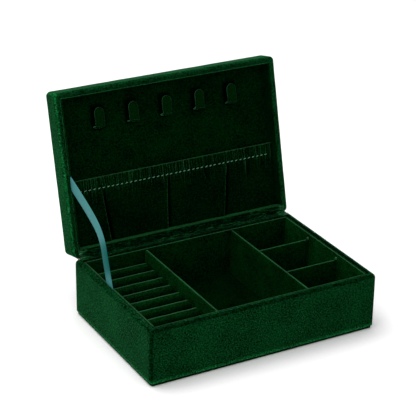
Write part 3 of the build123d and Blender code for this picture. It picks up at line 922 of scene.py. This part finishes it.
def gather_crest(x, up):
    """How close a point is to the crest of one of the fine gathers, 0 to 1."""
    share = (up - pocket_seam) / (pocket_top - pocket_seam)
    crest = 0.0
    for line, lean, strength, reach in gather_lines:
        off = x - line - lean * max(share, -0.4)
        if abs(off) < 1.0:
            start = 0.30 * max(0.0, reach) * 2
            held = smooth_step(start - 0.15, start + 0.15, share) if share > 0 and reach > 0 else 1.0
            held *= math.exp(min(0.0, share) * (3.0 if strength < 0.8 else 1.2))
            crest = max(crest, strength * held * math.exp(-((off / 0.34) ** 2)))
    return crest


def pocket_painted_light(point, normal):
    """Painted highlights along the mouth and on the crests of the gathers and folds, and painted shade behind
    them.
    """
    place = in_lid(point)
    up = -place.y
    band = smooth_step(pocket_seam - 2, pocket_seam + 1, up)
    mouth = smooth_step(pocket_top - 1.1, pocket_top - 0.5, up)
    fold = fold_height(place.x, up)[1] if up < pocket_seam else 0.0
    crests = gather_crest(place.x, up) if up > pocket_seam - 14 else 0.0
    crest = min(3.3, 4.4 * crests) * (1 - mouth)
    return -0.1 * band + 2.9 * mouth + min(3.3, max(-0.95, fold) + crest)


set_painted_light(pocket, pocket_painted_light)
finish_piece(pocket, "lid", "velvet_pocket", "pocket_cloth", "pocket_casing")

stitch_pitch = 4.9
stitch_half = 1.25
stitch_slant = 0.35
stitch_radius = 0.42
stitch_up = pocket_seam + 0.9
stitch_sides = 6
stitch_points = []
stitch_faces = []


def add_thread(start, end, radius, points, faces, bulge=0.25):
    """A short thread from start to end, as a closed tube that arches off the cloth."""
    first = len(points)
    rings = 6
    along = (Vector(end) - Vector(start)).normalized()
    out = Vector((0, 0, -1))
    side = along.cross(out).normalized()
    for ring in range(rings + 1):
        share = ring / rings
        centre = Vector(start).lerp(Vector(end), share) + out * bulge * math.sin(math.pi * share)
        thick = radius * (0.35 + 0.65 * math.sin(math.pi * min(max(share, 0.06), 0.94)) ** 0.5)
        for turn in range(stitch_sides):
            angle = math.tau * turn / stitch_sides
            points.append(centre + side * math.cos(angle) * thick + out * math.sin(angle) * thick)
    for ring in range(rings):
        for turn in range(stitch_sides):
            beside = (turn + 1) % stitch_sides
            low_ring = first + ring * stitch_sides
            high_ring = low_ring + stitch_sides
            faces.append((low_ring + turn, low_ring + beside, high_ring + beside, high_ring + turn))
    faces.append(tuple(first + turn for turn in reversed(range(stitch_sides))))
    faces.append(tuple(first + rings * stitch_sides + turn for turn in range(stitch_sides)))


stitch_count = int((pocket_high[0] - pocket_low[0] - 6) / stitch_pitch)
for number in range(stitch_count):
    middle = pocket_low[0] + 5 + number * stitch_pitch + 0.7 * noise.noise(Vector((number * 1.7, 3.1, 0)))
    ends = []
    for side in (-1, 1):
        x = middle + side * stitch_half
        up = stitch_up + side * stitch_slant * (1 + 0.8 * noise.noise(Vector((number * 2.3, 7.7, 0))))
        ends.append((x, -up, pocket_depth(x, up) - 0.25))
    add_thread(ends[0], ends[1], stitch_radius, stitch_points, stitch_faces)
stitches = make_piece("pocket_zigzag_thread", stitch_points, stitch_faces, thread(), lid_space)
finish_piece(stitches, "lid", "velvet_pocket")

# ---------------------------------------------------------------- cloth hinge
hinge_y = hinge["pos_m"][1] / MM
hinge_z = hinge["pos_m"][2] / MM


def lid_to_row(up, depth):
    """(y, z) in the row frame of a point `up` from the hinge and `depth` outside the rim plane."""
    place = lid_space @ (Vector((0, -up, depth)) * MM) / MM
    return place.y, place.z


def strip(name, material, route, half_length, thick, crease, crease_size, seed, fold_ends=0.0, crease_shading=1.0):
    """A long narrow cloth along x that follows (y, z) points, creased lengthwise."""
    columns = spread(-half_length, half_length, 1.0)
    distance = [0.0]
    for before, after in zip(route, route[1:]):
        distance.append(distance[-1] + math.dist(before, after))
    places = []
    for at in spread(0, distance[-1], 0.45):
        leg = max(number for number in range(len(route) - 1) if distance[number] <= at + 1e-6)
        share = (at - distance[leg]) / (distance[leg + 1] - distance[leg])
        y = route[leg][0] + (route[leg + 1][0] - route[leg][0]) * share
        z = route[leg][1] + (route[leg + 1][1] - route[leg][1]) * share
        run = math.dist(route[leg], route[leg + 1])
        normal = (-(route[leg + 1][1] - route[leg][1]) / run, (route[leg + 1][0] - route[leg][0]) / run)
        places.append((at, y, z, normal))
    points = []
    painted_light = []
    for at, y, z, normal in places:
        held = math.sin(math.pi * at / distance[-1]) ** 0.6 if 0 < at < distance[-1] else 0.0
        for x in columns:
            across = Vector((x / (crease_size * 9), at / crease_size + seed, seed))
            ridge = 1 - abs(noise.noise(across)) * 2.2
            pucker = noise.noise(Vector((x / 2.6, at / 3.0, seed + 4.0)))
            end = smooth_step(half_length - 11, half_length - 3, abs(x))
            curl = end * fold_ends * (0.6 + 0.4 * math.sin(at * 2.1)) * held
            lift = thick + held * (crease * ridge + 0.25 * crease * pucker) + curl
            points.append((x, y + normal[0] * lift, z + normal[1] * lift))
            # Painted light on the creases: highlights on the ridges, a little painted shade elsewhere, and
            # the curled ends lighter.
            crease_painted_light = crease_shading * (3.0 * smooth_step(0.84, 0.98, ridge) + 0.5 * pucker - 0.45)
            painted_light.append(max(-0.9, crease_painted_light + 2.8 * end * (fold_ends > 0)))
    faces = band_faces(len(places), len(columns), False)
    piece = make_piece(name, points, faces, material)
    store_values(piece, "painted_light", painted_light)
    return piece


gusset_half = 115.0
gusset_route = [(73.0, rim_height + 0.2), (78.6, rim_height + 0.2),
                lid_to_row(1.2, -0.1), lid_to_row(7.2, -0.15)]
gusset = strip("hinge_gusset_cloth", velvet_gusset, gusset_route, gusset_half, thick=0.15,
               crease=0.75, crease_size=1.7, seed=40.0, fold_ends=1.1)
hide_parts("hinge_gusset")
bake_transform(gusset)

frayed_count = 7
frayed_radius = 0.15
frayed_from = 115.4          # from the middle of the strip
for side in (-1, 1):
    frayed_points = []
    frayed_faces = []
    for number in range(frayed_count):
        place = Vector((number * 1.37, side * 3.1, 0.4))
        x = side * (frayed_from + 1.1 * abs(noise.noise(place * 2.1)) * 2)
        y = 75.4 + 4.2 * number / frayed_count
        z = rim_height + 0.55 + 0.5 * abs(noise.noise(place * 1.3))
        end = (x + side * 1.1, y + 1.2 * noise.noise(place * 3.3), z + 0.35 * noise.noise(place * 4.1))
        add_thread((x - side * 0.6, y, z), end, frayed_radius, frayed_points, frayed_faces, bulge=-0.2)
    end_name = "left" if side < 0 else "right"
    frayed = make_piece(f"hinge_raw_edge_{end_name}", frayed_points, frayed_faces, raw_linen())
    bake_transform(frayed)

spine_out = 0.35             # how far the strip stands off the velvet it is glued to
spine_half = 115.8
spine_route = [lid_to_row(-spine_out, 12.8), (hinge_y + 1.2, hinge_z - 1.2),
               (hinge_y + spine_out, hinge_z - 1.0), (hinge_y + spine_out, 41.9)]
spine = strip("hinge_spine_cloth", velvet_outer, spine_route, spine_half, thick=0.0,
              crease=0.10, crease_size=3.0, seed=50.0, crease_shading=0.0)
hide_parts("hinge_spine")
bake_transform(spine)

# ---------------------------------------------------------------- CAD parts that keep their shape
board_material = greyboard()
steel_material = nickel()
elastic_material = knitted_elastic()
for name, node in nodes.items():
    if "board" in name:
        node.data.materials[0] = board_material
    elif "magnets" in name:
        node.data.materials[0] = steel_material
    elif name == "pocket_elastic":
        node.data.materials[0] = elastic_material

# ---------------------------------------------------------------- stage, lights and camera
floor_half = 5.0
floor_corners = [(x * floor_half / MM, y * floor_half / MM, 0)
                 for x, y in ((-1, -1), (1, -1), (1, 1), (-1, 1))]
floor = make_piece("studio_floor", floor_corners, [(0, 1, 2, 3)], rough_paper())

world = bpy.data.worlds.new("studio_air")
world.use_nodes = True
background = world.node_tree.nodes["Background"]
background.inputs["Color"].default_value = (1, 1, 1, 1)
background.inputs["Strength"].default_value = 0.85
bpy.context.scene.world = world


def softbox(name, place, target, size, power):
    light = bpy.data.lights.new(name, "AREA")
    light.shape = "SQUARE"
    light.size = size
    light.energy = power
    lamp = bpy.data.objects.new(name, light)
    lamp.location = place
    lamp.rotation_euler = (Vector(target) - Vector(place)).to_track_quat("-Z", "Y").to_euler()
    bpy.context.scene.collection.objects.link(lamp)


softbox("overhead", (-0.30, 0.35, 1.6), (0, 0, 0.05), 1.1, 21)
softbox("left_side", (-1.6, -0.6, 1.1), (0, 0, 0.10), 1.2, 7)

camera_place = Vector((-0.68124, -1.17651, 0.74138))
camera_target = Vector((-0.00641, 0.02261, 0.11116))
camera_roll = 0.885
camera_data = bpy.data.cameras.new("camera")
camera_data.lens = 138.65
camera_data.sensor_width = 36.0
camera_data.clip_start = 0.01
camera = bpy.data.objects.new("camera", camera_data)
look = (camera_target - camera_place).to_track_quat("-Z", "Y").to_matrix().to_4x4()
camera.matrix_world = (Matrix.Translation(camera_place) @ look
                       @ Matrix.Rotation(math.radians(camera_roll), 4, "Z"))
bpy.context.scene.collection.objects.link(camera)
bpy.context.scene.camera = camera
bpy.context.scene.view_settings.view_transform = "Standard"
